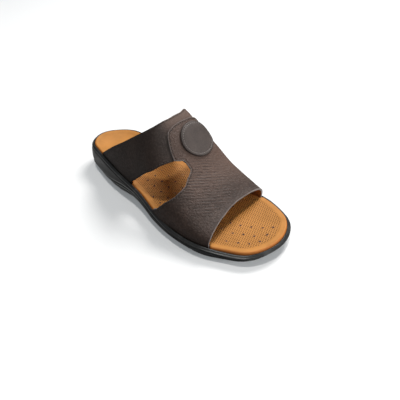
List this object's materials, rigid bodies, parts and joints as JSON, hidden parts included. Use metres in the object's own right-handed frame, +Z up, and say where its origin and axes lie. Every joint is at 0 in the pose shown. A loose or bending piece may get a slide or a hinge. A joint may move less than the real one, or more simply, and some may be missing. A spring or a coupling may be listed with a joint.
{
  "type": "slide sandal",
  "caption": "Backless leather slide sandal: wide instep strap joined to a windowed vamp, round patch, cupped footbed and moulded sole with a lugged tread.",
  "frame": {"origin": "on the floor under the middle of the sole's outline", "axes": "-Y towards the toe, +X towards the inner side of the foot, +Z up"},
  "size_m": [0.1116, 0.283, 0.1046],
  "materials": {
    "tread_rubber": "matt moulded rubber",
    "sole_rubber": "satin moulded rubber with fine grooves",
    "footbed_leather": "embossed and perforated tan lining leather",
    "upper_leather": "dark brown tumbled leather",
    "medallion_leather": "smooth grey brown leather with a stitched rim"
  },
  "bodies": {
    "root": {"outsole": "tread_rubber", "midsole": "sole_rubber", "footbed": "footbed_leather", "upper": "upper_leather", "medallion": "medallion_leather"}
  },
  "joints": []
}
